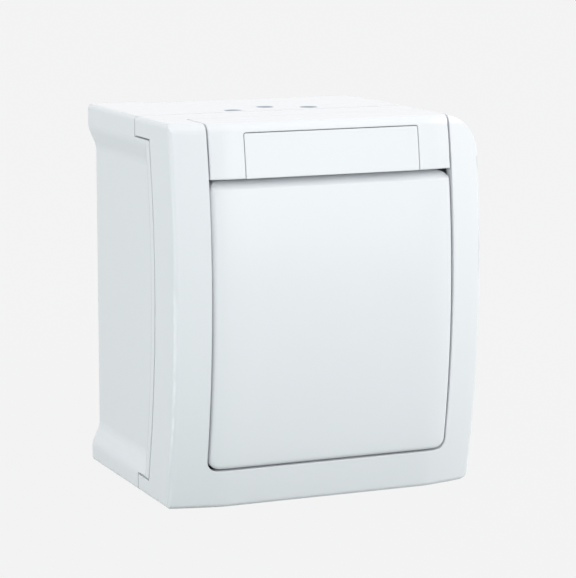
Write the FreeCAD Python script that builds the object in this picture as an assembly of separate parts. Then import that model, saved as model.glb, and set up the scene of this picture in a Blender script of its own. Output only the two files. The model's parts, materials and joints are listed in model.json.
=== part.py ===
import FreeCAD, Part
import math
import os
from FreeCAD import Vector

os.makedirs("parts", exist_ok=True)

# Overall sizes (mm): X to the right, Y into the wall, Z up, origin on the wall at the middle of the back
WIDTH = 68.0
HEIGHT = 78.5
DEPTH = 55.0
HALF_W = WIDTH / 2
HALF_H = HEIGHT / 2
FRONT_Y = -DEPTH

# How far a cutting shape reaches past the switch, and the limits that follow
OVERSHOOT = 6.0
REACH = HALF_W + OVERSHOOT
ABOVE = HALF_H + OVERSHOOT
AHEAD = FRONT_Y - OVERSHOOT

# Bowed front: an arc up the height turned about a far axis, its foremost line a little above the middle
BOW_RADIUS = 190.0
BOW_CENTRE_Z = 5.0
BOW_AXIS_Y = BOW_RADIUS - DEPTH
CORNER_TOP_LEFT = 1.0
CORNER_TOP_RIGHT = 9.0
CORNER_BOTTOM_LEFT = 1.0
CORNER_BOTTOM_RIGHT = 2.6
FRONT_EDGE_ROUND = 1.1
TOP_EDGE_ROUND = 2.3

# Cover
COVER_WALL = 2.4
COVER_FACE = 2.6
SEAM_BACK = 13.9
SEAM_GAP = 0.35
TAB_Y = FRONT_Y + 25.1
TAB_TOP_Z = HALF_H - 3.9
TAB_BOTTOM_Z = 3.6 - HALF_H
LUG_X = 15.0
LUG_HALF_W = 4.0
ARM_WIDTH = 7.25
SILL_HEIGHT = 7.95
BAND_HEIGHT = 10.95
OPENING_HALF_W = HALF_W - ARM_WIDTH
OPENING_BOTTOM_Z = SILL_HEIGHT - HALF_H
OPENING_CORNER = 2.3
BAND_BOTTOM_Z = HALF_H - BAND_HEIGHT
BAND_BACK_Y = FRONT_Y + 15.0
BAND_SIDE_GAP = 0.35
BAND_EDGE_ROUND = 0.25
BAND_WALL = 2.0
BRIDGE_IN = 4.3
BRIDGE_THICK = 1.8
BRIDGE_Z0 = BAND_BOTTOM_Z + 0.2
BRIDGE_Z1 = HALF_H - 2.65
LID_HALF_W = OPENING_HALF_W - 7.55
LID_TOP_Z = HALF_H - 1.85
LID_THICK = 1.6
LID_GAP = 0.15
LID_CORNER = 0.5
COVER_SCREW_X = LID_HALF_W - 5.2
COVER_SCREW_Z = HALF_H - 6.35
COVER_SCREW_R = 1.5
COVER_HEAD_R = 2.7
COVER_POST_R = 2.6

# Crown: flat in the middle, a short blend near the edge of the rocker, then a bevel that curves away
CROWN_FLAT = OPENING_HALF_W - 5.15
CROWN_BLEND = 2.0
CROWN_ANGLE = 9.5
CROWN_RADIUS = 75.0

# Housing on the wall
WAIST = 1.75
WAIST_SLOPE = 24.0
WAIST_BLEND = 4.0
FOOT_TOP = 4.3
FOOT_BOTTOM = 3.2
RIM_STRIP = 2.0
HOUSING_WALL = 2.6
BOTTOM_WALL = 3.2
BACK_WALL = 2.5
LIP_FRONT_Y = FRONT_Y + 9.0
LIP_LOW_Y = LIP_FRONT_Y + 1.5
LIP_BEHIND_COVER = 1.0
WING = 2.5
LIP_GAP = 0.2
TOP_PAD_DEPTH = 0.35
TOP_PAD_LEFT_X = 11.0 - HALF_W
TOP_PAD_CORNER = 5.0
TOP_PAD_FRONT_Y = TAB_Y + 2.4
DIMPLE_R = 1.9
DIMPLE_DEPTH = 0.9
DIMPLES = ((-9.7, 4.5), (-0.6, 9.2), (8.0, 5.5))
WALL_SCREW_Z = HALF_H - 11.25
WALL_SLOT_R = 2.2
WALL_SLOT_LENGTH = 8.4
ENTRY_Y = -17.0
ENTRY_R = 8.0
CABLE_R = 4.0
CAVITY_HALF_W = HALF_W - WAIST - HOUSING_WALL
CAVITY_BOTTOM_Z = BOTTOM_WALL - HALF_H
CAVITY_TOP_Z = HALF_H - TOP_PAD_DEPTH - HOUSING_WALL
CAVITY_RADII = (2.0, 5.0, 2.0, 2.0)

# Rocker, drawn level and set back behind the frame, then tipped so that its lower end comes flush
ROCKER_INSET = 1.0
ROCKER_SIDE_GAP = 0.38
ROCKER_TOP_GAP = 0.65
ROCKER_BOTTOM_GAP = 0.5
ROCKER_WALL = 2.0
ROCKER_FACE = 2.2
ROCKER_BACK_Y = FRONT_Y + 7.5
ROCKER_CORNER = 2.0
ROCKER_TOP_ROUND = 1.9
ROCKER_EDGE_ROUND = 0.8
ROCKER_TILT = 2.75
PIVOT_Y = FRONT_Y + 7.0
PIVOT_Z = (OPENING_BOTTOM_Z + BAND_BOTTOM_Z) / 2
TRUNNION_R = 1.5
RUNNING_CLEARANCE = 0.06
PLAY = 0.3

# Mechanism
PLATE_FRONT_Y = FRONT_Y + 13.5
PLATE_BACK_Y = PLATE_FRONT_Y + 2.0
PLATE_HALF_W = CAVITY_HALF_W - 0.45
PLATE_BOTTOM_Z = CAVITY_BOTTOM_Z + 1.45
PLATE_TOP_Z = CAVITY_TOP_Z - 6.1
PLATE_CORNER = 2.0
CHEEK_X0 = 13.0
CHEEK_X1 = 15.5
CHEEK_R = 3.2
STEM_R = 3.6
STEM_BORE_R = 2.2
STEM_END_Y = PIVOT_Y + 21.0
BOOT_IN = 0.6
BOOT_OUT = 2.2
PLUNGER_TIP_Y = PIVOT_Y + 25.1
PLUNGER_SEAT_Y = PIVOT_Y + 11.0
SPRING_R = 1.6
SPRING_WIRE_R = 0.28
SPRING_LENGTH = 7.6
SPRING_PITCH = 1.3
BASE_HALF_W = 18.0
BASE_HALF_H = 19.0
BASE_WALL = 2.0
BASE_BACK_Y = -BACK_WALL - 4.5
BLADE_PIVOT_Y = PIVOT_Y + 27.0
BLADE_PIN_R = 1.2
BLADE_HALF_W = 3.0
BLADE_TILT = 6.0
BLADE_HALF_L = 11.0
FLOOR_Y = BLADE_PIVOT_Y + 3.0
CONTACT_Z = -9.0
CONTACT_R = 1.8
TERMINAL_X = BASE_HALF_W - 5.5
TERMINAL_HOLE_Y = FLOOR_Y - 4.5
WIRE_R = 1.6
PEG_R = 0.8
POST_R = 3.4
POST_X = PLATE_HALF_W - 4.4
POST_ZS = (PLATE_BOTTOM_Z + 5.6, PLATE_TOP_Z - 5.6)
PILOT_R = 1.2
SCREW_R = 1.15
SLOT_WIDTH = 0.8


def box(x0, x1, y0, y1, z0, z1):
    return Part.makeBox(x1 - x0, y1 - y0, z1 - z0, Vector(x0, y0, z0))


def across(y0, y1, z0, z1):
    """A box over more than the whole width."""
    return box(-REACH, REACH, y0, y1, z0, z1)


def rod_x(y, z, r, x0, x1):
    return Part.makeCylinder(r, x1 - x0, Vector(x0, y, z), Vector(1, 0, 0))


def rod_y(x, z, r, y0, y1):
    return Part.makeCylinder(r, y1 - y0, Vector(x, y0, z), Vector(0, 1, 0))


def rod_z(x, y, r, z0, z1):
    return Part.makeCylinder(r, z1 - z0, Vector(x, y, z0), Vector(0, 0, 1))


def slab(x0, x1, z0, z1, radii, y0, y1):
    """A rounded rectangle in X and Z, radii top left, top right, bottom right, bottom left, from y0 to y1."""
    corners = ((x0, z1), (x1, z1), (x1, z0), (x0, z0))
    inward = ((1, -1), (-1, -1), (-1, 1), (1, 1))
    points = []
    for i in range(4):
        r = radii[i]
        cx, cz = corners[i]
        ix, iz = inward[i]
        along_z = Vector(cx, y0, cz + iz * r)
        along_x = Vector(cx + ix * r, y0, cz)
        q = r * (1 - math.sqrt(0.5))
        middle = Vector(cx + ix * q, y0, cz + iz * q)
        ends = (along_z, along_x) if i % 2 == 0 else (along_x, along_z)
        points.append((ends[0], middle, ends[1]))
    edges = []
    for i in range(4):
        edges.append(Part.Arc(*points[i]).toShape())
        edges.append(Part.makeLine(points[i][2], points[(i + 1) % 4][0]))
    return Part.Face(Part.Wire(edges)).extrude(Vector(0, y1 - y0, 0))


def outline(inset, y0, y1):
    """The outline of the whole switch, inset all round."""
    corners = (CORNER_TOP_LEFT, CORNER_TOP_RIGHT, CORNER_BOTTOM_RIGHT, CORNER_BOTTOM_LEFT)
    radii = [max(r - inset, 0.4) for r in corners]
    return slab(inset - HALF_W, HALF_W - inset, inset - HALF_H, HALF_H - inset, radii, y0, y1)


def crown_centre():
    """Centre of the bevel's arc in plan, as x and the drop behind the foremost line."""
    angle = math.radians(CROWN_ANGLE)
    blend_drop = CROWN_BLEND / math.sin(angle) * (1 - math.cos(angle))
    x = CROWN_FLAT + CROWN_BLEND - CROWN_RADIUS * math.sin(angle)
    return x, blend_drop + CROWN_RADIUS * math.cos(angle)


def crown_points():
    """Points of the plan of the front as (x, drop): end of the flat, blend and bevel, each arc with its middle."""
    blend_r = CROWN_BLEND / math.sin(math.radians(CROWN_ANGLE))
    points = []
    for angle in (0, CROWN_ANGLE / 2, CROWN_ANGLE):
        t = math.radians(angle)
        points.append((CROWN_FLAT + blend_r * math.sin(t), blend_r * (1 - math.cos(t))))
    centre_x, centre_drop = crown_centre()
    end_angle = math.degrees(math.asin((REACH - centre_x) / CROWN_RADIUS))
    for angle in ((CROWN_ANGLE + end_angle) / 2, end_angle):
        t = math.radians(angle)
        points.append((centre_x + CROWN_RADIUS * math.sin(t), centre_drop - CROWN_RADIUS * math.cos(t)))
    return points


def crown_drop(x):
    """How far the front falls back at a distance x from the middle."""
    x = abs(x)
    if x <= CROWN_FLAT:
        return 0.0
    if x <= CROWN_FLAT + CROWN_BLEND:
        blend_r = CROWN_BLEND / math.sin(math.radians(CROWN_ANGLE))
        return blend_r - math.sqrt(blend_r ** 2 - (x - CROWN_FLAT) ** 2)
    centre_x, centre_drop = crown_centre()
    return centre_drop - math.sqrt(CROWN_RADIUS ** 2 - (x - centre_x) ** 2)


def turned(edges):
    """Turns a plan profile, drawn at the height of the foremost line, about the axis of the bow."""
    half = ABOVE + abs(BOW_CENTRE_Z)
    sweep = math.degrees(math.asin(half / (BOW_AXIS_Y - plan_back())))
    axis = Vector(0, BOW_AXIS_Y, BOW_CENTRE_Z)
    face = Part.Face(Part.Wire(Part.__sortEdges__(edges)))
    face.rotate(axis, Vector(1, 0, 0), -sweep)
    return face.revolve(axis, Vector(1, 0, 0), 2 * sweep)


def plan_back():
    """Y up to which the turned shapes reach: a little behind the cover."""
    return TAB_Y + OVERSHOOT


def behind_front(inset):
    """Everything behind the bowed and crowned front, moved in by inset."""
    y = FRONT_Y + inset
    right = [Vector(x, y + drop, BOW_CENTRE_Z) for x, drop in crown_points()]
    left = [Vector(-p.x, p.y, p.z) for p in right]
    back_right = Vector(REACH, plan_back(), BOW_CENTRE_Z)
    back_left = Vector(-REACH, plan_back(), BOW_CENTRE_Z)
    edges = [Part.makeLine(left[0], right[0])]
    for side in (right, left):
        edges.append(Part.Arc(side[0], side[1], side[2]).toShape())
        edges.append(Part.Arc(side[2], side[3], side[4]).toShape())
    edges.append(Part.makeLine(right[4], back_right))
    edges.append(Part.makeLine(back_right, back_left))
    edges.append(Part.makeLine(back_left, left[4]))
    return turned(edges)


def round_sides(shape, half_w, radius, inset=0.0):
    """Trims a shape to two sides and rounds the front edges where they meet the bevel."""
    y = FRONT_Y + inset
    out = REACH + OVERSHOOT
    centre_x, centre_drop = crown_centre()
    round_x = half_w - radius
    round_drop = centre_drop - math.sqrt((CROWN_RADIUS - radius) ** 2 - (round_x - centre_x) ** 2)
    lean = math.atan2(round_x - centre_x, centre_drop - round_drop)
    turns = (lean, (lean + math.pi / 2) / 2, math.pi / 2)
    plan = [(round_x + radius * math.sin(t), y + round_drop - radius * math.cos(t)) for t in turns]
    plan += [(half_w, plan_back()), (out, plan_back()), (out, AHEAD), (plan[0][0], AHEAD)]
    for side in (-1, 1):
        points = [Vector(side * px, py, BOW_CENTRE_Z) for px, py in plan]
        edges = [Part.Arc(points[0], points[1], points[2]).toShape()]
        edges += [Part.makeLine(points[i], points[(i + 1) % 7]) for i in range(2, 7)]
        shape = shape.cut(turned(edges))
    return shape


def behind_arc(radius):
    """Everything behind an arc concentric with the bowed front."""
    return rod_x(BOW_AXIS_Y, BOW_CENTRE_Z, radius, -REACH, REACH)


def one(shape):
    return shape.removeSplitter()


def save(name, shape):
    shape.exportStep("parts/" + name + ".step")


def front_edges(shape, inset, z_low, z_high):
    """Edges that run across the bowed front between two heights."""
    found = []
    for edge in shape.Edges:
        span = edge.LastParameter - edge.FirstParameter
        across_x = abs(edge.tangentAt(edge.FirstParameter).x) > 0.9
        for i in range(5):
            p = edge.valueAt(edge.FirstParameter + span * i / 4)
            radius = math.hypot(p.y - BOW_AXIS_Y, p.z - BOW_CENTRE_Z)
            in_front = abs(radius - (BOW_RADIUS - inset - crown_drop(p.x))) < 0.02
            if not in_front or not z_low < p.z < z_high:
                across_x = False
        if across_x:
            found.append(edge)
    return found


def rounded_block(z0, z1, back_y, top_radius, bottom_radius, inset=0.0):
    """A wide block behind the bowed front with its top and bottom front edges rounded, to be cut to an outline."""
    near = 0.2
    block = box(1 - REACH, REACH - 1, AHEAD, back_y, z0, z1).common(behind_front(inset))
    block = block.makeFillet(top_radius, front_edges(block, inset, z1 - near, ABOVE))
    return block.makeFillet(bottom_radius, front_edges(block, inset, -ABOVE, z0 + near))


def screw(x, z, seat_y, r, head_r, head_h, length):
    """A screw along Y with a slotted pan head in front of seat_y."""
    front = seat_y - head_h
    body = rod_y(x, z, head_r, front, seat_y).fuse(rod_y(x, z, r, seat_y, seat_y + length))
    slot = box(x - head_r, x + head_r, front - 1, front + 0.7, z - SLOT_WIDTH / 2, z + SLOT_WIDTH / 2)
    return one(body.cut(slot))


# Cover frame: bowed shell, open at the rocker and at the label band, with a bridge behind the band
shell = rounded_block(-HALF_H, HALF_H, TAB_Y, TOP_EDGE_ROUND, FRONT_EDGE_ROUND)
shell = round_sides(shell, HALF_W, FRONT_EDGE_ROUND).common(outline(0, AHEAD, TAB_Y))
hollow = outline(COVER_WALL, AHEAD, TAB_Y + 1).common(behind_front(COVER_FACE))
frame = shell.cut(hollow)
skirt_cut = across(AHEAD, 0, TAB_BOTTOM_Z, TAB_TOP_Z).common(behind_arc(BOW_RADIUS - SEAM_BACK))
frame = frame.cut(skirt_cut)
opening_radii = (1, 1, OPENING_CORNER, OPENING_CORNER)
frame = frame.cut(slab(-OPENING_HALF_W, OPENING_HALF_W, OPENING_BOTTOM_Z, ABOVE, opening_radii, AHEAD, BAND_BACK_Y))
bridge = box(-OPENING_HALF_W - 1, OPENING_HALF_W + 1, AHEAD, BAND_BACK_Y, BRIDGE_Z0, BRIDGE_Z1)
bridge = bridge.common(behind_front(BRIDGE_IN)).cut(behind_front(BRIDGE_IN + BRIDGE_THICK))
for sx in (-1, 1):
    x0, x1 = sorted((sx * OPENING_HALF_W, sx * (OPENING_HALF_W + WING)))
    wing = box(x0, x1, AHEAD, LIP_FRONT_Y - 0.15, BRIDGE_Z0, BRIDGE_Z1)
    bridge = bridge.fuse(wing.common(behind_front(COVER_FACE - 0.2)))
for sx in (-1, 1):
    bridge = bridge.cut(rod_y(sx * COVER_SCREW_X, COVER_SCREW_Z, COVER_SCREW_R + 0.2, AHEAD, BAND_BACK_Y))
frame = frame.fuse(bridge)
lug_z = COVER_WALL - HALF_H
for sx in (-1, 1):
    x0, x1 = sx * LUG_X - LUG_HALF_W, sx * LUG_X + LUG_HALF_W
    frame = frame.fuse(box(x0, x1, TAB_Y - 3.5, TAB_Y - 1.5, lug_z - 0.2, lug_z + 0.8))
save("cover_frame", one(frame))

# Label band: between the arms, over the top edge and back along the top
band_half = OPENING_HALF_W - BAND_SIDE_GAP
band = rounded_block(BAND_BOTTOM_Z, HALF_H, BAND_BACK_Y - 0.1, TOP_EDGE_ROUND, BAND_EDGE_ROUND)
band = round_sides(band, band_half, BAND_EDGE_ROUND)
under = across(AHEAD, BAND_BACK_Y, BAND_BOTTOM_Z - 1, HALF_H - COVER_WALL)
band = band.cut(under.common(behind_front(BRIDGE_IN - 0.1)))
lid_radii = (LID_CORNER, LID_CORNER, 1, 1)
pocket = slab(-LID_HALF_W, LID_HALF_W, BAND_BOTTOM_Z - 5, LID_TOP_Z, lid_radii, AHEAD, BAND_BACK_Y)
band = band.cut(pocket.cut(behind_front(LID_THICK)))
for sx in (-1, 1):
    band = band.cut(rod_y(sx * COVER_SCREW_X, COVER_SCREW_Z, COVER_HEAD_R + 0.2, AHEAD, BAND_BACK_Y))
save("label_band", one(band))

# Label lid: flush in the band, down to its lower edge
lid_half = LID_HALF_W - LID_GAP
lid_radii = (LID_CORNER - LID_GAP, LID_CORNER - LID_GAP, 1, 1)
lid = slab(-lid_half, lid_half, BAND_BOTTOM_Z - 5, LID_TOP_Z - LID_GAP, lid_radii, AHEAD, BAND_BACK_Y)
lid = lid.common(across(AHEAD, BAND_BACK_Y, BAND_BOTTOM_Z, ABOVE))
save("label_lid", lid.common(behind_front(0)).cut(behind_front(LID_THICK)))


def waist_side(side, foot_z, way):
    """Edges of one S from a foot in to the waist, going way (-1 down, 1 up) from foot_z, and where it ends."""
    slope = math.radians(WAIST_SLOPE)
    arc_in = WAIST_BLEND * (1 - math.cos(slope))
    arc_run = WAIST_BLEND * math.sin(slope)
    half = math.radians(WAIST_SLOPE / 2)
    mid_in = WAIST_BLEND * (1 - math.cos(half))
    mid_run = WAIST_BLEND * math.sin(half)
    run = 2 * arc_run + (WAIST - 2 * arc_in) / math.tan(slope)

    def at(depth, along):
        return Vector(side * (HALF_W - depth), AHEAD, foot_z + way * along)

    first = Part.Arc(at(0, 0), at(mid_in, mid_run), at(arc_in, arc_run)).toShape()
    line = Part.makeLine(at(arc_in, arc_run), at(WAIST - arc_in, run - arc_run))
    last = Part.Arc(at(WAIST - arc_in, run - arc_run), at(WAIST - mid_in, run - mid_run), at(WAIST, run)).toShape()
    return [first, line, last], at(0, 0), at(WAIST, run)


def waist_cutter(side):
    """What is cut from one side between the feet; on the rounder corner the upper foot starts lower."""
    foot_top_z = HALF_H - FOOT_TOP
    if side > 0:
        foot_top_z -= CORNER_TOP_RIGHT - CORNER_TOP_LEFT - WAIST
    upper, top, upper_end = waist_side(side, foot_top_z, -1)
    lower, bottom, lower_end = waist_side(side, FOOT_BOTTOM - HALF_H, 1)
    out = side * REACH
    edges = upper + lower + [Part.makeLine(upper_end, lower_end)]
    edges.append(Part.makeLine(bottom, Vector(out, AHEAD, bottom.z)))
    edges.append(Part.makeLine(Vector(out, AHEAD, bottom.z), Vector(out, AHEAD, top.z)))
    edges.append(Part.makeLine(Vector(out, AHEAD, top.z), top))
    face = Part.Face(Part.Wire(Part.__sortEdges__(edges)))
    return face.extrude(Vector(0, OVERSHOOT - AHEAD, 0))


# Housing: swollen feet at the corners, waisted sides, top pad with drill marks
housing = outline(0, AHEAD, 0).common(behind_arc(BOW_RADIUS - SEAM_BACK - SEAM_GAP))
for z0, z1 in ((TAB_TOP_Z - SEAM_GAP, ABOVE), (-ABOVE, TAB_BOTTOM_Z + SEAM_GAP)):
    housing = housing.cut(across(AHEAD, TAB_Y + SEAM_GAP, z0, z1))
behind_strip = behind_arc(BOW_RADIUS - SEAM_BACK - SEAM_GAP - RIM_STRIP)
for side in (-1, 1):
    housing = housing.cut(waist_cutter(side).common(behind_strip))
pad_z = HALF_H - TOP_PAD_DEPTH
pad = box(TOP_PAD_LEFT_X, REACH, TOP_PAD_FRONT_Y, OVERSHOOT, pad_z, ABOVE)
upright = [e for e in pad.Edges if abs(e.tangentAt(0).z) > 0.9 and e.valueAt(0).x < 0 and e.valueAt(0).y < 0]
housing = housing.cut(pad.makeFillet(TOP_PAD_CORNER, upright))
for x, from_pad in DIMPLES:
    tip = Vector(x, TOP_PAD_FRONT_Y + from_pad, pad_z - DIMPLE_DEPTH)
    housing = housing.cut(Part.makeCone(0.3, DIMPLE_R, DIMPLE_DEPTH, tip, Vector(0, 0, 1)))
lip_out = COVER_WALL + LIP_GAP
low_half = OPENING_HALF_W + WING + 0.3
lip = outline(lip_out, LIP_FRONT_Y, plan_back() - 1)
lip = lip.cut(box(-low_half, low_half, AHEAD, LIP_LOW_Y, BRIDGE_Z0 - 0.5, ABOVE))
housing = housing.fuse(lip.common(behind_front(COVER_FACE + LIP_BEHIND_COVER)))
housing = housing.cut(slab(-CAVITY_HALF_W, CAVITY_HALF_W, CAVITY_BOTTOM_Z, CAVITY_TOP_Z, CAVITY_RADII, AHEAD, -BACK_WALL))
cover_posts = [(sx * COVER_SCREW_X, COVER_SCREW_Z, LIP_FRONT_Y + 0.1, COVER_POST_R) for sx in (-1, 1)]
plate_posts = [(sx * POST_X, z, PLATE_BACK_Y, POST_R) for sx in (-1, 1) for z in POST_ZS]
for x, z, front, r in cover_posts + plate_posts:
    housing = housing.fuse(rod_y(x, z, r, front, -BACK_WALL / 2))
for x, z, front, r in cover_posts + plate_posts:
    housing = housing.cut(rod_y(x, z, PILOT_R, front - 1, front + 14))
for z in (-WALL_SCREW_Z, WALL_SCREW_Z):
    half = WALL_SLOT_LENGTH / 2
    radii = (WALL_SLOT_R - 0.01,) * 4
    housing = housing.cut(slab(-WALL_SLOT_R, WALL_SLOT_R, z - half, z + half, radii, -5, 5))
housing = housing.cut(rod_z(0, ENTRY_Y, ENTRY_R, -ABOVE, CAVITY_BOTTOM_Z + 1))
for sx in (-1, 1):
    x0, x1 = sx * LUG_X - LUG_HALF_W - 0.5, sx * LUG_X + LUG_HALF_W + 0.5
    housing = housing.cut(box(x0, x1, TAB_Y - 4.0, TAB_Y - 1.0, -ABOVE, lug_z + 1.4))
housing = one(housing)
save("rear_housing", housing)

# Sealing rings round the wall screws, on the floor of the housing
rings = []
for z in (-WALL_SCREW_Z, WALL_SCREW_Z):
    ring = slab(-4, 4, z - 6, z + 6, (3.9,) * 4, -BACK_WALL - 1.5, -BACK_WALL)
    hole = slab(-2.4, 2.4, z - 4.4, z + 4.4, (2.3,) * 4, -BACK_WALL - 2, 0)
    rings.append(ring.cut(hole))
save("wall_seal_rings", Part.makeCompound(rings))

# Cable grommet: plugged into the bottom wall, flush outside
low = 0.15 - HALF_H
profile = [(CABLE_R, low), (ENTRY_R, low), (ENTRY_R, CAVITY_BOTTOM_Z), (ENTRY_R + 2, CAVITY_BOTTOM_Z)]
profile += [(ENTRY_R + 2, CAVITY_BOTTOM_Z + 1.4), (CABLE_R + 1.4, CAVITY_BOTTOM_Z + 3.2), (CABLE_R, CAVITY_BOTTOM_Z + 3.2)]
wire = Part.makePolygon([Vector(x, ENTRY_Y, z) for x, z in profile + profile[:1]])
save("cable_grommet", Part.Face(wire).revolve(Vector(0, ENTRY_Y, 0), Vector(0, 0, 1), 360))

# Gasket: on the lip of the housing, up to the back of the cover
bridge_back = BRIDGE_IN + BRIDGE_THICK + 0.05
gasket = outline(lip_out, AHEAD, LIP_LOW_Y)
rim = HALF_H - lip_out - 2.0
gasket = gasket.cut(slab(-CAVITY_HALF_W, CAVITY_HALF_W, -rim, rim, CAVITY_RADII, AHEAD - 1, BAND_BACK_Y))
gasket = gasket.common(behind_front(COVER_FACE + 0.05))
bridge_zone = box(0.2 - low_half, low_half - 0.2, AHEAD, BAND_BACK_Y, BRIDGE_Z0 - 0.3, ABOVE)
gasket = gasket.cut(bridge_zone.cut(behind_front(bridge_back)))
for sx in (-1, 1):
    x0, x1 = sorted((sx * (OPENING_HALF_W - 0.5), sx * (low_half - 0.2)))
    gasket = gasket.cut(box(x0, x1, AHEAD, LIP_FRONT_Y - 0.1, BRIDGE_Z0 - 0.3, ABOVE))
    gasket = gasket.cut(rod_y(sx * COVER_SCREW_X, COVER_SCREW_Z, COVER_POST_R + 0.1, AHEAD, BAND_BACK_Y))
save("cover_gasket", one(gasket.cut(housing)))

# Cover screws, under the label lid
head_top = COVER_SCREW_Z + COVER_HEAD_R - BOW_CENTRE_Z
seat_y = BOW_AXIS_Y - math.sqrt((BOW_RADIUS - BRIDGE_IN) ** 2 - head_top ** 2) - 0.9
screws = [screw(sx * COVER_SCREW_X, COVER_SCREW_Z, seat_y, SCREW_R, COVER_HEAD_R, 1.1, 12) for sx in (-1, 1)]
save("cover_screws", Part.makeCompound(screws))

# Rocker, cradle and plunger
rocker_half = OPENING_HALF_W - ROCKER_SIDE_GAP
rocker_z0 = OPENING_BOTTOM_Z + ROCKER_BOTTOM_GAP
rocker_z1 = BAND_BOTTOM_Z - ROCKER_TOP_GAP
rocker = rounded_block(rocker_z0, rocker_z1, ROCKER_BACK_Y, ROCKER_TOP_ROUND, ROCKER_EDGE_ROUND, ROCKER_INSET)
rocker = round_sides(rocker, rocker_half, ROCKER_EDGE_ROUND, ROCKER_INSET)
corner_radii = (ROCKER_CORNER,) * 4
rocker = rocker.common(slab(-rocker_half, rocker_half, rocker_z0, rocker_z1, corner_radii, AHEAD, ROCKER_BACK_Y))
room_half = rocker_half - ROCKER_WALL
room_z0 = rocker_z0 + ROCKER_WALL
room_z1 = rocker_z1 - ROCKER_WALL
rocker_room = slab(-room_half, room_half, room_z0, room_z1, (1,) * 4, AHEAD, ROCKER_BACK_Y + 1)
rocker = rocker.cut(rocker_room.common(behind_front(ROCKER_INSET + ROCKER_FACE)))

cradle_half = CHEEK_X0 - 0.6
cradle = box(-cradle_half, cradle_half, AHEAD, PIVOT_Y + 3.5, PIVOT_Z - 6, PIVOT_Z + 6)
cradle = cradle.common(behind_front(ROCKER_INSET + ROCKER_FACE))
cradle = cradle.fuse(rod_x(PIVOT_Y, PIVOT_Z, TRUNNION_R, PLAY - CHEEK_X1, CHEEK_X1 - PLAY))
cradle = cradle.fuse(rod_y(0, PIVOT_Z, STEM_R, PIVOT_Y, STEM_END_Y))
cradle = one(cradle.cut(rod_y(0, PIVOT_Z, STEM_BORE_R, PIVOT_Y + 2, STEM_END_Y + 1)))

plunger_r = STEM_BORE_R - RUNNING_CLEARANCE
tip_centre_y = PLUNGER_TIP_Y - plunger_r
plunger = rod_y(0, PIVOT_Z, plunger_r, PLUNGER_SEAT_Y, tip_centre_y)
plunger = plunger.fuse(Part.makeSphere(plunger_r, Vector(0, tip_centre_y, PIVOT_Z)))
plunger = one(plunger.fuse(rod_y(0, PIVOT_Z, 0.9, PLUNGER_SEAT_Y - 2, PLUNGER_SEAT_Y)))
helix = Part.makeHelix(SPRING_PITCH, SPRING_LENGTH, SPRING_R)
ring = Part.Wire([Part.makeCircle(SPRING_WIRE_R, Vector(SPRING_R, 0, 0), Vector(0, 1, 0))])
coil = Part.Wire(helix.Edges).makePipeShell([ring], True, True)
coil.rotate(Vector(0, 0, 0), Vector(1, 0, 0), -90)
coil.translate(Vector(0, PLUNGER_SEAT_Y - SPRING_WIRE_R - 0.05 - SPRING_LENGTH, PIVOT_Z))
if coil.Volume < 0:
    coil.reverse()

for name, shape in (("rocker", rocker), ("rocker_cradle", cradle), ("plunger", plunger), ("plunger_spring", coil)):
    shape.rotate(Vector(0, PIVOT_Y, PIVOT_Z), Vector(1, 0, 0), -ROCKER_TILT)
    save(name, shape)

# Mechanism plate with the cheeks that carry the rocker
plate_radii = (PLATE_CORNER,) * 4
plate = slab(-PLATE_HALF_W, PLATE_HALF_W, PLATE_BOTTOM_Z, PLATE_TOP_Z, plate_radii, PLATE_FRONT_Y, PLATE_BACK_Y)
for sx in (-1, 1):
    x0, x1 = sorted((sx * CHEEK_X0, sx * CHEEK_X1))
    cheek = box(x0, x1, PIVOT_Y, PLATE_BACK_Y, PIVOT_Z - 4, PIVOT_Z + 4)
    plate = plate.fuse(cheek.fuse(rod_x(PIVOT_Y, PIVOT_Z, CHEEK_R, x0, x1)))
    plate = plate.cut(rod_x(PIVOT_Y, PIVOT_Z, TRUNNION_R + RUNNING_CLEARANCE, x0 - 1, x1 + 1))
plate = plate.cut(rod_y(0, PIVOT_Z, STEM_R + BOOT_OUT, PLATE_FRONT_Y - 1, PLATE_BACK_Y + 1))
pegs = [(sx * (BASE_HALF_W - 1), PIVOT_Z + sz * (BASE_HALF_H - 1)) for sx in (-1, 1) for sz in (-1, 1)]
for x, z, front, r in plate_posts:
    plate = plate.cut(rod_y(x, z, WIRE_R, PLATE_FRONT_Y - 1, PLATE_BACK_Y + 1))
for x, z in pegs:
    plate = plate.cut(rod_y(x, z, PEG_R, PLATE_FRONT_Y - 1, PLATE_BACK_Y + 1))
save("mechanism_plate", one(plate))
plate_screws = [screw(x, z, PLATE_FRONT_Y, SCREW_R, 2.4, 1.5, 11) for x, z, front, r in plate_posts]
save("mechanism_screws", Part.makeCompound(plate_screws))

# Boot on the plate, close round the stem
boot_profile = [(STEM_R + BOOT_OUT, PLATE_BACK_Y), (STEM_R + BOOT_OUT, PLATE_FRONT_Y), (STEM_R + 4, PLATE_FRONT_Y)]
boot_profile += [(STEM_R + 4, PLATE_FRONT_Y - 1), (STEM_R + BOOT_IN, PLATE_FRONT_Y - 1), (STEM_R + BOOT_IN, PLATE_BACK_Y)]
wire = Part.makePolygon([Vector(r, y, PIVOT_Z) for r, y in boot_profile + boot_profile[:1]])
save("stem_boot", Part.Face(wire).revolve(Vector(0, 0, PIVOT_Z), Vector(0, 1, 0), 360))

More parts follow.
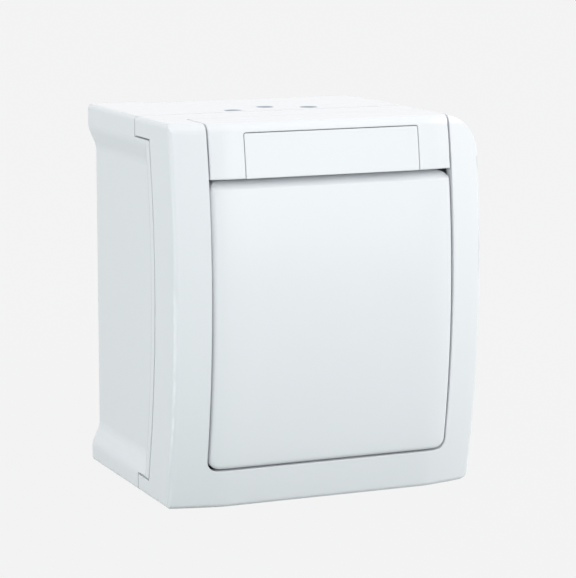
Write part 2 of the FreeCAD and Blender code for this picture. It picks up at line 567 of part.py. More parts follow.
# Sealing collar between the plate and the back of the cover
inner_x = OPENING_HALF_W + 0.75
inner_z0 = OPENING_BOTTOM_Z - 0.75
inner_z1 = BAND_BOTTOM_Z - 0.1
collar = slab(-PLATE_HALF_W, PLATE_HALF_W, PLATE_BOTTOM_Z + 0.2, PLATE_TOP_Z - 0.2, plate_radii, AHEAD, PLATE_FRONT_Y)
collar = collar.cut(slab(-inner_x, inner_x, inner_z0, inner_z1, plate_radii, AHEAD - 1, PLATE_BACK_Y))
collar = collar.common(behind_front(COVER_FACE + 0.05))
collar = collar.cut(across(AHEAD, LIP_FRONT_Y - 0.1, BRIDGE_Z0 - 0.4, ABOVE))
collar = collar.cut(across(AHEAD, BAND_BACK_Y, BRIDGE_Z0 - 1, ABOVE).cut(behind_front(bridge_back)))
for x, z, front, r in cover_posts:
    collar = collar.cut(rod_y(x, z, COVER_POST_R + 0.1, AHEAD, PLATE_BACK_Y))
save("sealing_collar", one(collar))

# Base of the mechanism: a tray closed by the plate
tray_half_w = BASE_HALF_W - BASE_WALL
tray_z0 = PIVOT_Z - BASE_HALF_H + BASE_WALL
tray_z1 = PIVOT_Z + BASE_HALF_H - BASE_WALL
base = box(-BASE_HALF_W, BASE_HALF_W, PLATE_BACK_Y, BASE_BACK_Y, PIVOT_Z - BASE_HALF_H, PIVOT_Z + BASE_HALF_H)
base = base.cut(box(-tray_half_w, tray_half_w, PLATE_BACK_Y - 1, FLOOR_Y, tray_z0, tray_z1))
for sx in (-1, 1):
    x0, x1 = sorted((sx * (BASE_HALF_W - 10), sx * (BASE_HALF_W - 9)))
    base = base.fuse(box(x0, x1, PLATE_BACK_Y, FLOOR_Y - 2.0, tray_z0, tray_z1))
    base = base.cut(rod_z(sx * TERMINAL_X, TERMINAL_HOLE_Y, WIRE_R + 0.2, -ABOVE, ABOVE))
for x, z in pegs:
    base = base.fuse(rod_y(x, z, PEG_R, PLATE_FRONT_Y + 0.4, PLATE_BACK_Y))
save("mechanism_base", one(base))

# Contacts
blade_back = BLADE_PIVOT_Y - BLADE_PIN_R / 2
blade = box(-BLADE_HALF_W, BLADE_HALF_W, blade_back - 1, blade_back, PIVOT_Z - BLADE_HALF_L, PIVOT_Z + BLADE_HALF_L)
blade = blade.fuse(rod_x(BLADE_PIVOT_Y, PIVOT_Z, BLADE_PIN_R, -BLADE_HALF_W, BLADE_HALF_W))
blade = one(blade.fuse(rod_y(0, PIVOT_Z + CONTACT_Z, CONTACT_R, blade_back, blade_back + 1.4)))
blade.rotate(Vector(0, BLADE_PIVOT_Y, PIVOT_Z), Vector(1, 0, 0), BLADE_TILT)
save("moving_contact", blade)

seat_half = BLADE_HALF_W + 1.5
strip_end = TERMINAL_X + 2
seat = box(-seat_half, seat_half, BLADE_PIVOT_Y + 0.3, FLOOR_Y, PIVOT_Z - 3, PIVOT_Z + 3)
seat = seat.cut(rod_x(BLADE_PIVOT_Y, PIVOT_Z, BLADE_PIN_R + PLAY, -seat_half - 1, seat_half + 1))
common = seat.fuse(box(seat_half - 1, strip_end, FLOOR_Y - 1, FLOOR_Y, PIVOT_Z - 2.5, PIVOT_Z + 2.5))
common = common.fuse(box(strip_end - 4, strip_end, FLOOR_Y - 1, FLOOR_Y, PIVOT_Z + 2, PIVOT_Z + 12))
save("common_contact", one(common))
contact_z = PIVOT_Z + CONTACT_Z
fixed = box(-BLADE_HALF_W, strip_end, FLOOR_Y - 0.6, FLOOR_Y, contact_z - 3.5, contact_z + 2.5)
save("fixed_contact", one(fixed.fuse(rod_y(0, contact_z, CONTACT_R, FLOOR_Y - 0.9, FLOOR_Y))))


def clamp(x, z, back_y):
    """A terminal block with its wire hole along Z and its screw hole along Y."""
    body = box(x - 2.5, x + 2.5, FLOOR_Y - 9, back_y, z - 2.8, z + 2.8)
    body = body.cut(rod_z(x, TERMINAL_HOLE_Y, WIRE_R, z - 5, z + 5))
    return one(body.cut(rod_y(x, z, 1.3, FLOOR_Y - 12, TERMINAL_HOLE_Y)))


# Terminals: two clamps on the contact strips, one loop terminal on the floor
clamp_spots = ((TERMINAL_X, PIVOT_Z + 8, FLOOR_Y - 1.0), (TERMINAL_X, contact_z, FLOOR_Y - 0.6))
save("terminal_clamps", Part.makeCompound([clamp(*s) for s in clamp_spots]))
save("loop_terminal", clamp(-TERMINAL_X, PIVOT_Z, FLOOR_Y))
spots = [(s[0], s[1]) for s in clamp_spots] + [(-TERMINAL_X, PIVOT_Z)]
terminal_screws = [screw(x, z, FLOOR_Y - 11.5, 1.3, 2.2, 1.4, 6.0) for x, z in spots]
save("terminal_screws", Part.makeCompound(terminal_screws))
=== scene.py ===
"""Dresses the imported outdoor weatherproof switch: finishes, new pieces, studio floor, light and camera."""

import json
import logging
import math
from collections.abc import Callable
from dataclasses import dataclass, field
from enum import Enum

import bpy
from mathutils import Matrix, Vector

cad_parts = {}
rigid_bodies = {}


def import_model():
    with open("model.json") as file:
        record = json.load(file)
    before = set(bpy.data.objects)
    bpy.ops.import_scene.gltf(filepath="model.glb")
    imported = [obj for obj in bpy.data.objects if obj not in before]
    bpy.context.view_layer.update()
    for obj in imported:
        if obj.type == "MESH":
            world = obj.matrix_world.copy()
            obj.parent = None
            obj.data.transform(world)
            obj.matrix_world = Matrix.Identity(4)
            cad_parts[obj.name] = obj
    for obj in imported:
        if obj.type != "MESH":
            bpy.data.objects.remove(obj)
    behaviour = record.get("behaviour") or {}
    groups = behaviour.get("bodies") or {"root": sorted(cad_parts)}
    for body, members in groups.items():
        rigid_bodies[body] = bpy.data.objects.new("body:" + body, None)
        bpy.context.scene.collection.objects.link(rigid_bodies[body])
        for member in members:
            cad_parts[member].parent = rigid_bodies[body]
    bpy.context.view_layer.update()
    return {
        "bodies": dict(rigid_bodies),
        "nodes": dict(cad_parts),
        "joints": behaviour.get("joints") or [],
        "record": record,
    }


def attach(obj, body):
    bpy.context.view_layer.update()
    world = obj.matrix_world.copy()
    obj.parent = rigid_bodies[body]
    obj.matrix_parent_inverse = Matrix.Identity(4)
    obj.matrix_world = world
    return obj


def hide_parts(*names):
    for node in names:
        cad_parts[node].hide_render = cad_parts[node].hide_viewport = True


LOG = logging.getLogger("outdoor_switch")
MM = 0.001
SMOOTH_ANGLE = math.radians(32.0)
LEVEL_DIGITS = 2

Point = tuple[float, float, float]
Colour = tuple[float, float, float, float]
Key = int | str


def linear(hex_colour: str, share: float = 1.0) -> Colour:
    """Turn an sRGB hex colour into linear values.

    Args:
        hex_colour: Colour such as "#F4F4F4".
        share: How much of its light is kept.

    Returns:
        Linear red, green, blue and an alpha of 1.
    """
    values = [int(hex_colour.lstrip("#")[i : i + 2], 16) / 255 for i in (0, 2, 4)]
    red, green, blue = (share * (v / 12.92 if v <= 0.04045 else ((v + 0.055) / 1.055) ** 2.4) for v in values)
    return (red, green, blue, 1.0)


def add_node(
    tree: bpy.types.NodeTree,
    kind: str,
    settings: dict[Key, object] | None = None,
    links: dict[Key, bpy.types.NodeSocket] | None = None,
) -> bpy.types.Node:
    """Add a shader node with its settings and incoming links.

    Args:
        tree: Node tree that takes the node.
        kind: Node type name.
        settings: Values by input socket name or number, or by attribute name. The key stops gives a colour
            ramp's places and colours.
        links: Output sockets by the input socket's name or number that they feed.

    Returns:
        The new node.
    """
    node = tree.nodes.new(kind)
    for key, value in (settings or {}).items():
        if isinstance(key, int) or key in node.inputs:
            node.inputs[key].default_value = value
        elif key == "stops":
            elements = node.color_ramp.elements
            while len(elements) < len(value):
                elements.new(1.0)
            for element, (position, colour) in zip(elements, value):
                element.position = position
                element.color = colour
        else:
            setattr(node, key, value)
    for key, source in (links or {}).items():
        tree.links.new(source, node.inputs[key])
    return node


def new_tree(owner: bpy.types.Material | bpy.types.World) -> bpy.types.NodeTree:
    """Give a material or world an empty node tree.

    Args:
        owner: The material or world.

    Returns:
        Its tree, with no nodes.
    """
    owner.use_nodes = True
    owner.node_tree.nodes.clear()
    return owner.node_tree


class Look(Enum):
    """How a surface was made."""

    POLISHED = "polished mould"
    SPARKED = "fine spark-eroded mould"
    PLATED = "plated metal"


@dataclass(frozen=True)
class Finish:
    """One real material with its surface. A polished mould also softens the edges that catch the light."""

    name: str
    colour: str
    roughness: float
    look: Look
    ior: float = 1.5
    grain_mm: float = 0.6
    relief_mm: float = 0.02
    shade: float = 0.015
    gloss_spread: float = 0.08
    drift_mm: float = 30.0
    drift_from: float = 0.35
    drift_to: float = 0.65
    grain_detail: float = 2.0
    edge_mm: float = 0.3
    edge_samples: int = 6

    def build(self) -> bpy.types.Material:
        """Build the node material.

        Returns:
            The material.
        """
        material = bpy.data.materials.new(self.name)
        tree = new_tree(material)
        polished = self.look is Look.POLISHED
        place = add_node(tree, "ShaderNodeTexCoord").outputs["Object"]
        grain = add_node(
            tree,
            "ShaderNodeTexNoise",
            {"Scale": 1.0 / (self.grain_mm * MM), "Detail": 0.0 if polished else self.grain_detail},
            {"Vector": place},
        ).outputs["Fac"]
        drift = add_node(
            tree,
            "ShaderNodeTexNoise",
            {"Scale": 1.0 / (self.drift_mm * MM), "Detail": 2.0},
            {"Vector": place},
        )
        dark = linear(self.colour, 1.0 - self.shade)
        tone = add_node(
            tree,
            "ShaderNodeValToRGB",
            {"stops": ((self.drift_from, dark), (self.drift_to, linear(self.colour)))},
            {"Fac": drift.outputs["Fac"]},
        )
        gloss = add_node(
            tree,
            "ShaderNodeMapRange",
            {
                "To Min": self.roughness * (1.0 - self.gloss_spread),
                "To Max": self.roughness * (1.0 + self.gloss_spread),
            },
            {"Value": grain},
        )
        relief = add_node(tree, "ShaderNodeBump", {"Distance": self.relief_mm * MM}, {"Height": grain})
        if polished:
            edge = add_node(
                tree,
                "ShaderNodeBevel",
                {"samples": self.edge_samples, "Radius": self.edge_mm * MM},
            )
            tree.links.new(edge.outputs["Normal"], relief.inputs["Normal"])
        shader = add_node(
            tree,
            "ShaderNodeBsdfPrincipled",
            {"IOR": self.ior, "Metallic": 1.0 if self.look is Look.PLATED else 0.0},
            {
                "Base Color": tone.outputs["Color"],
                "Roughness": gloss.outputs["Result"],
                "Normal": relief.outputs["Normal"],
            },
        )
        add_node(tree, "ShaderNodeOutputMaterial", links={"Surface": shader.outputs["BSDF"]})
        return material


# ASA thermoplastic from a polished mould: white with a faint cool cast and clear, soft highlights
WHITE_ASA = Finish(
    "white ASA thermoplastic, polished mould",
    "#F5F6F9",
    0.24,
    Look.POLISHED,
    ior=1.52,
    grain_mm=2.2,
    relief_mm=0.0015,
    shade=0.006,
)
# The same ASA with no relief at all: the flat lid shows an even face and slightly softer highlights
LID_ASA = Finish(
    "white ASA thermoplastic, lid",
    "#F5F6F9",
    0.25,
    Look.POLISHED,
    ior=1.52,
    grain_mm=2.2,
    relief_mm=0.0,
    shade=0.006,
)
# The same ASA left rough by the tool in the drill marks: dull and greyer, the grey being painted shade for
# the hollows, its grain drawn coarse to show
SHADE_PAINTED_MARK_ASA = Finish(
    "white ASA thermoplastic, rough drill mark",
    "#A3ADB6",
    0.6,
    Look.SPARKED,
    ior=1.52,
    grain_mm=0.4,
    relief_mm=0.01,
)
# Urea thermoset: satin, light grey
UREA = Finish(
    "light grey urea thermoset, satin moulded", "#C9CCCB", 0.45, Look.SPARKED, ior=1.55, grain_mm=0.35
)
# Polyamide: milky and slightly soft in its highlights
POLYAMIDE = Finish(
    "natural polyamide, moulded", "#E2E1DA", 0.4, Look.SPARKED, ior=1.53, grain_mm=0.4, relief_mm=0.015
)
# TPE seal: grey and dull, with a fine powdery skin
TPE = Finish(
    "grey TPE seal, moulded",
    "#B4B9BA",
    0.62,
    Look.SPARKED,
    ior=1.49,
    grain_mm=0.3,
    relief_mm=0.03,
    shade=0.05,
)
# Zinc plated steel: cool and bright with a faint mottling
ZINC = Finish(
    "zinc plated steel", "#C6C9CC", 0.3, Look.PLATED, grain_mm=0.25, relief_mm=0.01, shade=0.08
)
# Drawn spring wire: bright, with fine drawing marks
SPRING = Finish(
    "drawn spring steel", "#A9ACAE", 0.28, Look.PLATED, grain_mm=0.15, relief_mm=0.01, shade=0.06
)
# Stamped brass: warm yellow with slight tarnish
BRASS = Finish(
    "stamped brass", "#C9A64E", 0.32, Look.PLATED, grain_mm=0.3, relief_mm=0.01, shade=0.12
)


@dataclass
class SwitchBody:
    """Gives each solid of the switch the finish of its slot."""

    finishes: dict[str, Finish] = field(
        default_factory=lambda: {
            "white_plastic": WHITE_ASA,
            "lid_plastic": LID_ASA,
            "mechanism_plastic": UREA,
            "cradle_plastic": POLYAMIDE,
            "seal_rubber": TPE,
            "zinc_steel": ZINC,
            "spring_steel": SPRING,
            "contact_brass": BRASS,
        }
    )

    def dress(self, frame: dict) -> dict[str, bpy.types.Material]:
        """Assign the finishes.


        Returns:
            The materials by slot.
        """
        made = {slot: finish.build() for slot, finish in self.finishes.items()}
        for part in frame["record"]["subparts"]:
            node = frame["nodes"][part["node"]]
            node.data.materials.clear()
            node.data.materials.append(made[part["material_slot"]])
            LOG.info("%s: %s", part["node"], part["material_slot"])
        return made


@dataclass
class RockerCap:
    """The flush rocker: bowed and crowned face, rounded rim, open back. Lengths in millimetres."""

    half_width: float = 26.43
    bottom: float = -30.95
    top: float = 27.75
    seat_x: float = 0.17
    face: float = -54.9
    back: float = -47.8
    corner: float = 2.2
    rim: float = 0.9
    round_segments: int = 6
    flank_depth: float = 2.5
    recess_inset: float = 6.0
    recess_floor: float = -51.0
    bow_radius: float = 190.0
    bow_centre: float = 5.0
    crown_start: float = 21.6
    crown_blend: float = 2.0
    crown_slope: float = 0.167
    crown_radius: float = 75.0
    tilt_deg: float = 0.6
    pivot: Point = (0.0, -48.0, -1.5)
    column_step: float = 2.15
    row_step: float = 2.9
    grid_margin: float = 2.0
    near: float = 0.1
    floor_gap: float = 0.3
    least_fall: float = 0.0005
    merge: float = 0.002

    def select(self, test: Callable[[Vector], bool]) -> None:
        """Select the vertices of the mesh in edit mode whose place passes a test.

        Args:
            test: Takes a place in millimetres and says whether the vertex is wanted.
        """
        bpy.ops.mesh.select_mode(type="VERT")
        bpy.ops.mesh.select_all(action="DESELECT")
        bpy.ops.object.mode_set(mode="OBJECT")
        for vertex in bpy.context.object.data.vertices:
            if test(vertex.co / MM):
                vertex.select = True
        bpy.ops.object.mode_set(mode="EDIT")

    def drop_across(self, x: float) -> float:
        """Fall of the face at a distance from the middle.

        Args:
            x: Distance from the middle.

        Returns:
            Fall behind the flat middle.
        """
        past = abs(x) - self.crown_start
        if past <= 0.0:
            return 0.0
        if past <= self.crown_blend:
            return self.crown_slope * past**2 / (2.0 * self.crown_blend)
        beyond = past - self.crown_blend
        return self.crown_slope * (self.crown_blend / 2.0 + beyond) + beyond**2 / (2.0 * self.crown_radius)

    def drop_along(self, z: float) -> float:
        """Fall of the face along the bow.

        Args:
            z: Height.

        Returns:
            Fall behind the foremost line.
        """
        return self.bow_radius - math.sqrt(self.bow_radius**2 - (z - self.bow_centre) ** 2)

    def in_front(self, place: Vector) -> bool:
        """Tell whether a place belongs to the face or the walls behind it, and not to the recess.

        Args:
            place: Place in millimetres.

        Returns:
            Whether it moves with the face.
        """
        wall = self.recess_inset - self.near
        over_wall = abs(place.x) > self.half_width - wall
        over_wall = over_wall or not self.bottom + wall < place.z < self.top - wall
        return place.y < self.recess_floor - self.floor_gap or (over_wall and place.y < self.back - self.near)

    def shift_levels(self, axis: int, drop: Callable[[float], float]) -> None:
        """Push the face back level by level.

        Args:
            axis: 0 for columns across the rocker, 2 for rows along it.
            drop: Fall of the face at a level.
        """
        mesh = bpy.context.object.data
        bpy.ops.object.mode_set(mode="OBJECT")
        places = [v.co / MM for v in mesh.vertices]
        levels = sorted({round(p[axis], LEVEL_DIGITS) for p in places if self.in_front(p)})
        bpy.ops.object.mode_set(mode="EDIT")
        for level in levels:
            fall = drop(level)
            if fall > self.least_fall:
                self.select(lambda p: round(p[axis], LEVEL_DIGITS) == level and self.in_front(p))
                bpy.ops.transform.translate(value=(0.0, fall * MM, 0.0))

    def form_block(self) -> None:
        """Draw the outline with its round corners, pull it to a block and round the rim of the face."""
        middle_z = (self.top + self.bottom) / 2.0
        size = (2.0 * self.half_width * MM, 1.0, (self.top - self.bottom) * MM)
        bpy.ops.mesh.select_all(action="SELECT")
        bpy.ops.transform.resize(value=size, center_override=(0, 0, 0))
        bpy.ops.transform.translate(value=(0.0, self.face * MM, middle_z * MM))
        bpy.ops.mesh.bevel(offset=self.corner * MM, segments=self.round_segments, affect="VERTICES")
        bpy.ops.mesh.select_all(action="SELECT")
        deep = (0.0, (self.back - self.face) * MM, 0.0)
        bpy.ops.mesh.extrude_region_move(TRANSFORM_OT_translate={"value": deep})
        self.select(lambda p: p.y < self.face + self.near)
        bpy.ops.mesh.bevel(offset=self.rim * MM, segments=self.round_segments, affect="EDGES")

    def cut_flank(self) -> None:
        """Cut the sloping flank at the top, which starts where the round corners are half turned."""
        flank_rise = self.corner * (1.0 - math.sqrt(0.5))
        bpy.ops.mesh.select_all(action="SELECT")
        bpy.ops.mesh.bisect(
            plane_co=(0.0, (self.face + self.flank_depth) * MM, self.top * MM),
            plane_no=(0.0, -flank_rise, self.flank_depth),
            clear_outer=True,
            use_fill=True,
        )

    def hollow_back(self) -> None:
        """Sink the recess into the back."""
        self.select(lambda p: p.y > self.back - self.near)
        bpy.ops.mesh.inset(thickness=self.recess_inset * MM)
        inward = (0.0, (self.recess_floor - self.back) * MM, 0.0)
        bpy.ops.mesh.extrude_region_move(TRANSFORM_OT_translate={"value": inward})

    def cut_grid(self) -> None:
        """Cut columns and rows, so that the face can bend, and fan out the faces of many corners."""
        middle_z = (self.top + self.bottom) / 2.0
        columns = int((self.half_width - self.grid_margin) / self.column_step)
        for i in range(-columns, columns + 1):
            bpy.ops.mesh.select_all(action="SELECT")
            bpy.ops.mesh.bisect(plane_co=(i * self.column_step * MM, 0.0, 0.0), plane_no=(1.0, 0.0, 0.0))
        rows = int(((self.top - self.bottom) / 2.0 - self.grid_margin) / self.row_step)
        for i in range(-rows, rows + 1):
            level = (middle_z + i * self.row_step) * MM
            bpy.ops.mesh.select_all(action="SELECT")
            bpy.ops.mesh.bisect(plane_co=(0.0, 0.0, level), plane_no=(0.0, 0.0, 1.0))
        bpy.ops.mesh.select_mode(type="FACE")
        bpy.ops.mesh.select_all(action="DESELECT")
        bpy.ops.mesh.select_face_by_sides(number=4, type="GREATER")
        bpy.ops.mesh.poke()

    def build(self) -> bpy.types.Object:
        """Model the rocker.

        Returns:
            The finished piece.
        """
        bpy.ops.object.select_all(action="DESELECT")
        bpy.ops.mesh.primitive_plane_add(size=1.0, rotation=(math.pi / 2.0, 0.0, 0.0))
        cap = bpy.context.object
        cap.name = "rocker_cap"
        bpy.ops.object.transform_apply(location=True, rotation=True, scale=True)
        bpy.ops.object.mode_set(mode="EDIT")
        self.form_block()
        self.cut_flank()
        self.hollow_back()
        self.cut_grid()
        self.shift_levels(2, self.drop_along)
        self.shift_levels(0, self.drop_across)
        bpy.ops.mesh.select_all(action="SELECT")
        bpy.ops.mesh.remove_doubles(threshold=self.merge * MM)
        bpy.ops.mesh.normals_make_consistent(inside=False)
        bpy.ops.transform.translate(value=(self.seat_x * MM, 0.0, 0.0))
        # With no window, rotate turns the other way, so this leans the upper end back
        bpy.ops.transform.rotate(
            value=math.radians(self.tilt_deg),
            orient_axis="X",
            center_override=tuple(c * MM for c in self.pivot),
        )
        bpy.ops.object.mode_set(mode="OBJECT")
        bpy.ops.object.shade_smooth_by_angle(angle=SMOOTH_ANGLE)
        return cap

    def dress(self, cap: bpy.types.Object, made: dict[str, bpy.types.Material]) -> None:
        """Give the rocker its finish and its body, and hide the solid that it stands for.

        Args:
            cap: The rocker.
            made: The materials by slot.
        """
        cap.data.materials.append(made["white_plastic"])
        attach(cap, "rocker")
        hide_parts("rocker")


@dataclass
class DrillMarks:
    """Three small cups that mark where the top wall may be drilled. Lengths in millimetres."""

    places: tuple[tuple[float, float], ...] = ((-9.7, -23.0), (-0.6, -18.3), (8.0, -22.0))
    surface: float = 38.9
    radius: float = 1.84
    tip: float = 0.3
    depth: float = 0.86
    lip: float = 0.12
    dish: float = 0.5
    dish_share: float = 0.42
    sides: int = 48
    facing_up: float = 0.9

    def build(self) -> bpy.types.Object:
        """Model one cup and copy it to the other marks.

        Returns:
            The cups, joined to one piece.
        """
        height = self.surface - self.depth / 2.0
        spots = [Vector((x, y, height)) * MM for x, y in self.places]
        bpy.ops.object.select_all(action="DESELECT")
        bpy.ops.mesh.primitive_cone_add(
            vertices=self.sides,
            radius1=self.tip * MM,
            radius2=self.radius * MM,
            depth=self.depth * MM,
            location=spots[0],
        )
        cups = bpy.context.object
        cups.name = "drill_marks"
        bpy.ops.object.transform_apply(location=True, rotation=True, scale=True)
        bpy.ops.object.mode_set(mode="EDIT")
        bpy.ops.mesh.select_mode(type="FACE")
        bpy.ops.mesh.select_all(action="DESELECT")
        bpy.ops.object.mode_set(mode="OBJECT")
        for face in cups.data.polygons:
            face.select = face.normal.z > self.facing_up
        bpy.ops.object.mode_set(mode="EDIT")
        bpy.ops.mesh.inset(thickness=self.lip * MM)
        bpy.ops.mesh.extrude_region_move(TRANSFORM_OT_translate={"value": (0.0, 0.0, -self.dish * MM)})
        bpy.ops.transform.resize(value=(self.dish_share, self.dish_share, 1.0), center_override=spots[0])
        bpy.ops.mesh.select_all(action="SELECT")
        for last, spot in zip(spots, spots[1:]):
            bpy.ops.mesh.duplicate_move(TRANSFORM_OT_translate={"value": spot - last})
        bpy.ops.mesh.select_all(action="SELECT")
        bpy.ops.mesh.normals_make_consistent(inside=False)
        bpy.ops.object.mode_set(mode="OBJECT")
        bpy.ops.object.shade_smooth_by_angle(angle=SMOOTH_ANGLE)
        return cups

    def dress(self, cups: bpy.types.Object) -> None:
        """Give the cups their finish, whose grey is painted shade in the hollows, and their body.

        Args:
            cups: The cups.
        """
        cups.data.materials.append(SHADE_PAINTED_MARK_ASA.build())
        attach(cups, "housing")


@dataclass(frozen=True)
class Lamp:
    """A soft lamp. Place and size in metres, power in watts, tint in sRGB."""

    name: str
    place: Point
    size: tuple[float, float]
    watts: float
    tint: str

    def hang(self, aim: Point) -> None:
        """Hang the lamp.

        Args:
            aim: Point in metres that it is turned to.
        """
        data = bpy.data.lights.new(self.name, "AREA")
        data.shape = "RECTANGLE"
        data.size, data.size_y = self.size
        data.energy = self.watts
        data.color = linear(self.tint)[:3]
        lamp = bpy.data.objects.new(self.name, data)
        bpy.context.scene.collection.objects.link(lamp)
        lamp.location = self.place
        way = Vector(aim) - Vector(self.place)
        lamp.rotation_euler = way.to_track_quat("-Z", "Y").to_euler()


@dataclass
class Studio:
    """Pale floor, soft lamps and the camera of the photograph."""

    yaw_deg: float = 23.0
    pitch_deg: float = 9.53
    focal_px: float = 2524.1
    image_h: int = 578
    film_mm: float = 36.0
    aim_mm: Point = (0.0, -35.0, 0.0)
    slide_right_mm: float = 2.07
    slide_up_mm: float = -2.05
    distance_mm: float = 529.43
    clip_start: float = 0.01
    clip_end: float = 20.0
    backdrop: str = "#F5F5F5"
    backdrop_share: float = 0.97
    floor_z_mm: float = -39.25
    floor_size: float = 12.0
    # Painted shadow on the paper beside the switch: its middle, the reach of its full darkness, where the
    # open paper starts, and both colours
    painted_shadow_spot: Point = (-0.09, -0.01, 0.0)
    painted_shadow_to: float = 0.06
    open_from: float = 0.26
    painted_shadow_paper: str = "#919B99"
    open_paper: str = "#B6BCBA"
    lamp_aim: Point = (0.0, -0.03, 0.0)
    lamps: tuple[Lamp, ...] = (
        Lamp("high right softbox", (0.7, -0.35, 0.5), (0.5, 0.5), 2.15, "#FFFAF7"),
        Lamp("low front fill", (0.25, -1.0, 0.05), (0.5, 0.5), 1.12, "#FFFEFD"),
        Lamp("low left softbox", (-0.35, -0.1, 0.0), (0.15, 0.08), 0.17, "#F0F9F8"),
    )
    surround_strength: float = 1.84
    left_share: float = 0.68
    left_end: float = -1.0
    left_start: float = -0.1
    surround: tuple[tuple[float, float, str], ...] = (
        (0.06, 0.02, "#F0FBF9"),
        (0.18, 1.0, "#F4FCFB"),
        (0.46, 1.0, "#F8FBFD"),
        (0.58, 0.38, "#FCFDFF"),
        (1.0, 0.38, "#FCFDFF"),
    )

    def axes(self) -> tuple[Vector, Vector, Vector]:
        """Camera directions.

        Returns:
            Forward, right and up.
        """
        yaw = math.radians(self.yaw_deg)
        pitch = math.radians(self.pitch_deg)
        level = Vector((math.sin(yaw), math.cos(yaw), 0.0)) * math.cos(pitch)
        forward = level - Vector((0.0, 0.0, math.sin(pitch)))
        right = Vector((math.cos(yaw), -math.sin(yaw), 0.0))
        return forward, right, right.cross(forward)

    def camera(self) -> None:
        """Place the camera."""
        forward, right, up = self.axes()
        eye = Vector(self.aim_mm) - forward * self.distance_mm
        eye -= right * self.slide_right_mm + up * self.slide_up_mm
        data = bpy.data.cameras.new("product camera")
        data.lens = self.focal_px * self.film_mm / self.image_h
        data.sensor_width = self.film_mm
        data.sensor_fit = "AUTO"
        data.clip_start = self.clip_start
        data.clip_end = self.clip_end
        camera = bpy.data.objects.new("product camera", data)
        bpy.context.scene.collection.objects.link(camera)
        turn = Matrix((right, up, -forward)).transposed()
        camera.matrix_world = Matrix.Translation(eye * MM) @ turn.to_4x4()
        bpy.context.scene.camera = camera

    def seen_rays(self, tree: bpy.types.NodeTree) -> bpy.types.NodeSocket:
        """Single out the rays that show the backdrop: seen directly, mirrored or through glass.

        Args:
            tree: Node tree that takes the nodes.

        Returns:
            A socket that is 1 for those rays.
        """
        ray = add_node(tree, "ShaderNodeLightPath").outputs
        mirrored = add_node(
            tree,
            "ShaderNodeMath",
            {"operation": "ADD", "use_clamp": True},
            {0: ray["Is Camera Ray"], 1: ray["Is Glossy Ray"]},
        )
        every = add_node(
            tree,
            "ShaderNodeMath",
            {"operation": "ADD", "use_clamp": True},
            {0: mirrored.outputs["Value"], 1: ray["Is Transmission Ray"]},
        )
        return every.outputs["Value"]

    def paper(self) -> bpy.types.Material:
        """Build the floor's paper: darker beside the switch as a painted shadow, and the plain backdrop where
        it is seen.

        Returns:
            The material.
        """
        # Seamless paper: matt, so that it throws soft light on the switch, even away from the painted shadow
        # that darkens it beside the switch
        material = bpy.data.materials.new("seamless paper, matt")
        tree = new_tree(material)
        place = add_node(tree, "ShaderNodeTexCoord")
        # Painted shadow: the paper darkens towards a spot beside the switch and fades to the open paper
        # further out
        reach = add_node(
            tree,
            "ShaderNodeVectorMath",
            {"operation": "DISTANCE", 1: self.painted_shadow_spot},
            {0: place.outputs["Object"]},
        )
        sweep = add_node(
            tree,
            "ShaderNodeMapRange",
            {"From Min": self.painted_shadow_to, "From Max": self.open_from},
            {"Value": reach.outputs["Value"]},
        )
        # A colour mix has its two colours in sockets 6 and 7, and its result in socket 2
        tint = add_node(
            tree,
            "ShaderNodeMix",
            {"data_type": "RGBA", 6: linear(self.painted_shadow_paper), 7: linear(self.open_paper)},
            {"Factor": sweep.outputs["Result"]},
        )
        lit = add_node(tree, "ShaderNodeBsdfDiffuse", links={"Color": tint.outputs[2]})
        plain = add_node(tree, "ShaderNodeEmission", {"Color": linear(self.backdrop), "Strength": 1.0})
        seen = add_node(
            tree,
            "ShaderNodeMath",
            {"operation": "MULTIPLY", 1: self.backdrop_share},
            {0: self.seen_rays(tree)},
        )
        mix = add_node(
            tree,
            "ShaderNodeMixShader",
            links={"Fac": seen.outputs["Value"], 1: lit.outputs["BSDF"], 2: plain.outputs["Emission"]},
        )
        add_node(tree, "ShaderNodeOutputMaterial", links={"Surface": mix.outputs["Shader"]})
        return material

    def floor(self) -> None:
        """Lay the floor that also fills the background."""
        bpy.ops.object.select_all(action="DESELECT")
        bpy.ops.mesh.primitive_plane_add(size=self.floor_size, location=(0.0, 0.0, self.floor_z_mm * MM))
        floor = bpy.context.object
        floor.name = "studio_floor"
        floor.data.materials.append(self.paper())

    def light(self) -> None:
        """Hang the lamps and set the world: bright in a band above the floor, dimmer to the left."""
        for lamp in self.lamps:
            lamp.hang(self.lamp_aim)
        world = bpy.data.worlds.new("studio surround")
        bpy.context.scene.world = world
        tree = new_tree(world)
        place = add_node(tree, "ShaderNodeTexCoord")
        way = add_node(tree, "ShaderNodeSeparateXYZ", links={"Vector": place.outputs["Generated"]})
        stops = [(height, linear(tint, level)) for height, level, tint in self.surround]
        sky = add_node(tree, "ShaderNodeValToRGB", {"stops": stops}, {"Fac": way.outputs["Z"]})
        dim = add_node(
            tree,
            "ShaderNodeMapRange",
            {
                "From Min": self.left_end,
                "From Max": self.left_start,
                "To Min": self.surround_strength * self.left_share,
                "To Max": self.surround_strength,
            },
            {"Value": way.outputs["X"]},
        )
        soft = add_node(
            tree,
            "ShaderNodeBackground",
            links={"Color": sky.outputs["Color"], "Strength": dim.outputs["Result"]},
        )
        plain = add_node(tree, "ShaderNodeBackground", {"Strength": 1.0, "Color": linear(self.backdrop)})
        mix = add_node(
            tree,
            "ShaderNodeMixShader",
            links={
                "Fac": self.seen_rays(tree),
                1: soft.outputs["Background"],
                2: plain.outputs["Background"],
            },
        )
        add_node(tree, "ShaderNodeOutputWorld", links={"Surface": mix.outputs["Shader"]})

    def set_up(self) -> None:
        """Build the whole studio."""
        self.floor()
        self.light()
        self.camera()
        bpy.context.scene.view_settings.view_transform = "Standard"


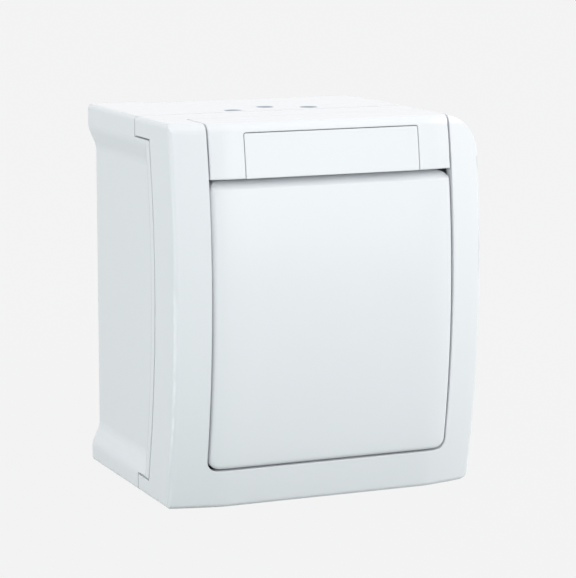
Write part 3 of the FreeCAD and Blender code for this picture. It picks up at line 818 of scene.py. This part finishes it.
def main() -> None:
    """Build the classes in order."""
    logging.basicConfig(level=logging.INFO, format="%(name)s: %(message)s")
    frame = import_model()
    made = SwitchBody().dress(frame)
    rocker = RockerCap()
    cap = rocker.build()
    rocker.dress(cap, made)
    marks = DrillMarks()
    cups = marks.build()
    marks.dress(cups)
    for piece in (cap, cups):
        LOG.info("%s: %d faces", piece.name, len(piece.data.polygons))
    Studio().set_up()


if __name__ == "__main__":
    main()
